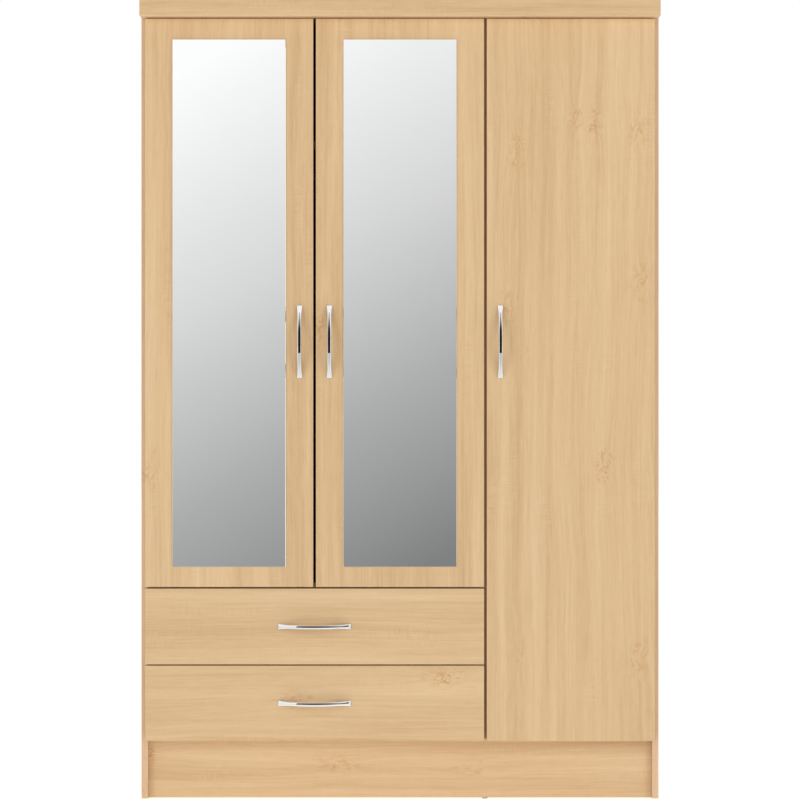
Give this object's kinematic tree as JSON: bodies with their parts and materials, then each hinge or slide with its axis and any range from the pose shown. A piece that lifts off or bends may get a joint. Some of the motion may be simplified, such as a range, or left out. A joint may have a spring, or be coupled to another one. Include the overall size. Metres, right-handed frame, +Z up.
{
  "type": "wardrobe with doors",
  "caption": "Tall light-oak-effect wardrobe with hinged doors, some faced with tall mirrors, wide drawers below the mirrored doors, chrome bow handles and a recessed plinth.",
  "frame": {"origin": "on the floor, midway across the width and midway between the back and the front of the handles", "axes": "+Z up, -Y out of the front, +X to the right of someone facing the front"},
  "size_m": [1.186, 0.52, 1.83],
  "materials": {
    "oak_board": "light oak effect foil on chipboard, satin, with edging",
    "oak_front": "light oak effect foil on chipboard, satin",
    "drawer_board": "pale wood effect foil on thin chipboard",
    "hardboard": "thin hardboard, light face",
    "mirror_glass": "silvered float glass with a small arris",
    "handle_chrome": "polished chrome plate",
    "rail_chrome": "chrome plated tube",
    "hinge_steel": "nickel plated pressed steel",
    "screw_steel": "zinc plated",
    "cam_zinc": "cast zinc",
    "bracket_steel": "zinc plated angle",
    "runner_enamel": "white baked enamel on steel",
    "roller_nylon": "white nylon",
    "plastic_fittings": "moulded plastic"
  },
  "bodies": {
    "carcass": {"adjustable_shelves": "oak_board", "back_panel_left": "hardboard", "back_panel_right": "hardboard", "bottom_panel": "oak_board", "cabinet_runners": "runner_enamel", "cam_locks": "cam_zinc", "carcass_screws": "screw_steel", "divider_panel": "oak_board", "drawer_deck": "oak_board", "fixed_shelf": "oak_board", "floor_glides": "plastic_fittings", "hanging_rail": "rail_chrome", "hat_shelf": "oak_board", "hinge_arms": "hinge_steel", "hinge_plates": "hinge_steel", "plinth_front": "oak_board", "plinth_rear": "oak_board", "rail_brackets": "rail_chrome", "shelf_pegs": "plastic_fittings", "side_panel_left": "oak_board", "side_panel_right": "oak_board", "top_panel": "oak_board", "wall_bracket": "bracket_steel"},
    "door_left": {"door_left_handle": "handle_chrome", "door_left_hinge_cups": "hinge_steel", "door_left_mirror": "mirror_glass", "door_left_panel": "oak_front", "door_left_screws": "screw_steel"},
    "door_left_links": {"door_left_hinge_links": "hinge_steel"},
    "door_middle": {"door_middle_handle": "handle_chrome", "door_middle_hinge_cups": "hinge_steel", "door_middle_mirror": "mirror_glass", "door_middle_panel": "oak_front", "door_middle_screws": "screw_steel"},
    "door_middle_links": {"door_middle_hinge_links": "hinge_steel"},
    "door_right": {"door_right_handle": "handle_chrome", "door_right_hinge_cups": "hinge_steel", "door_right_panel": "oak_front", "door_right_screws": "screw_steel"},
    "door_right_links": {"door_right_hinge_links": "hinge_steel"},
    "drawer_lower": {"drawer_lower_back": "drawer_board", "drawer_lower_bottom": "hardboard", "drawer_lower_front": "oak_front", "drawer_lower_handle": "handle_chrome", "drawer_lower_runners": "runner_enamel", "drawer_lower_screws": "screw_steel", "drawer_lower_side_left": "drawer_board", "drawer_lower_side_right": "drawer_board"},
    "drawer_upper": {"drawer_upper_back": "drawer_board", "drawer_upper_bottom": "hardboard", "drawer_upper_front": "oak_front", "drawer_upper_handle": "handle_chrome", "drawer_upper_runners": "runner_enamel", "drawer_upper_screws": "screw_steel", "drawer_upper_side_left": "drawer_board", "drawer_upper_side_right": "drawer_board"},
    "rollers_front_lower": {"rollers_front_lower": "roller_nylon"},
    "rollers_front_upper": {"rollers_front_upper": "roller_nylon"},
    "rollers_rear_lower": {"rollers_rear_lower": "roller_nylon"},
    "rollers_rear_upper": {"rollers_rear_upper": "roller_nylon"}
  },
  "joints": [
    {"name": "door_left_arm_pivot", "type": "hinge", "parent": "carcass", "child": "door_left_links", "pos_m": [-0.5502, -0.2257, 1.13925], "axis": [0, 0, 1], "range_deg": [0, 48.45]},
    {"name": "door_left_swing", "type": "hinge", "parent": "door_left_links", "child": "door_left", "pos_m": [-0.57, -0.2232, 1.13925], "axis": [0, 0, -1], "range_deg": [0, 143.45]},
    {"name": "door_middle_arm_pivot", "type": "hinge", "parent": "carcass", "child": "door_middle_links", "pos_m": [0.16003, -0.2257, 1.13925], "axis": [0, 0, -1], "range_deg": [0, 48.45]},
    {"name": "door_middle_swing", "type": "hinge", "parent": "door_middle_links", "child": "door_middle", "pos_m": [0.17983, -0.2232, 1.13925], "axis": [0, 0, 1], "range_deg": [0, 143.45]},
    {"name": "door_right_arm_pivot", "type": "hinge", "parent": "carcass", "child": "door_right_links", "pos_m": [0.5502, -0.2257, 0.96325], "axis": [0, 0, -1], "range_deg": [0, 48.45]},
    {"name": "door_right_swing", "type": "hinge", "parent": "door_right_links", "child": "door_right", "pos_m": [0.57, -0.2232, 0.96325], "axis": [0, 0, 1], "range_deg": [0, 143.45]},
    {"name": "drawer_upper_slide", "type": "slide", "parent": "carcass", "child": "drawer_upper", "axis": [0, -1, 0], "range_m": [0, 0.3]},
    {"name": "roller_front_upper_spin", "type": "hinge", "parent": "carcass", "child": "rollers_front_upper", "pos_m": [-0.19508, -0.2, 0.3482], "axis": [1, 0, 0], "range_deg": [0, 1909.86]},
    {"name": "roller_rear_upper_spin", "type": "hinge", "parent": "drawer_upper", "child": "rollers_rear_upper", "pos_m": [-0.19508, 0.168, 0.3427], "axis": [1, 0, 0], "range_deg": [0, 1534.71]},
    {"name": "drawer_lower_slide", "type": "slide", "parent": "carcass", "child": "drawer_lower", "axis": [0, -1, 0], "range_m": [0, 0.3]},
    {"name": "roller_front_lower_spin", "type": "hinge", "parent": "carcass", "child": "rollers_front_lower", "pos_m": [-0.19508, -0.2, 0.1782], "axis": [1, 0, 0], "range_deg": [0, 1909.86]},
    {"name": "roller_rear_lower_spin", "type": "hinge", "parent": "drawer_lower", "child": "rollers_rear_lower", "pos_m": [-0.19508, 0.168, 0.1727], "axis": [1, 0, 0], "range_deg": [0, 1534.71]}
  ],
  "couplings": [
    {"joint": "door_left_arm_pivot", "follows": "door_left_swing", "ratio": 0.33775},
    {"joint": "door_middle_arm_pivot", "follows": "door_middle_swing", "ratio": 0.33775},
    {"joint": "door_right_arm_pivot", "follows": "door_right_swing", "ratio": 0.33775},
    {"joint": "roller_front_upper_spin", "follows": "drawer_upper_slide", "rad_per_m": 111.11},
    {"joint": "roller_rear_upper_spin", "follows": "drawer_upper_slide", "rad_per_m": 89.286},
    {"joint": "roller_front_lower_spin", "follows": "drawer_lower_slide", "rad_per_m": 111.11},
    {"joint": "roller_rear_lower_spin", "follows": "drawer_lower_slide", "rad_per_m": 89.286}
  ]
}
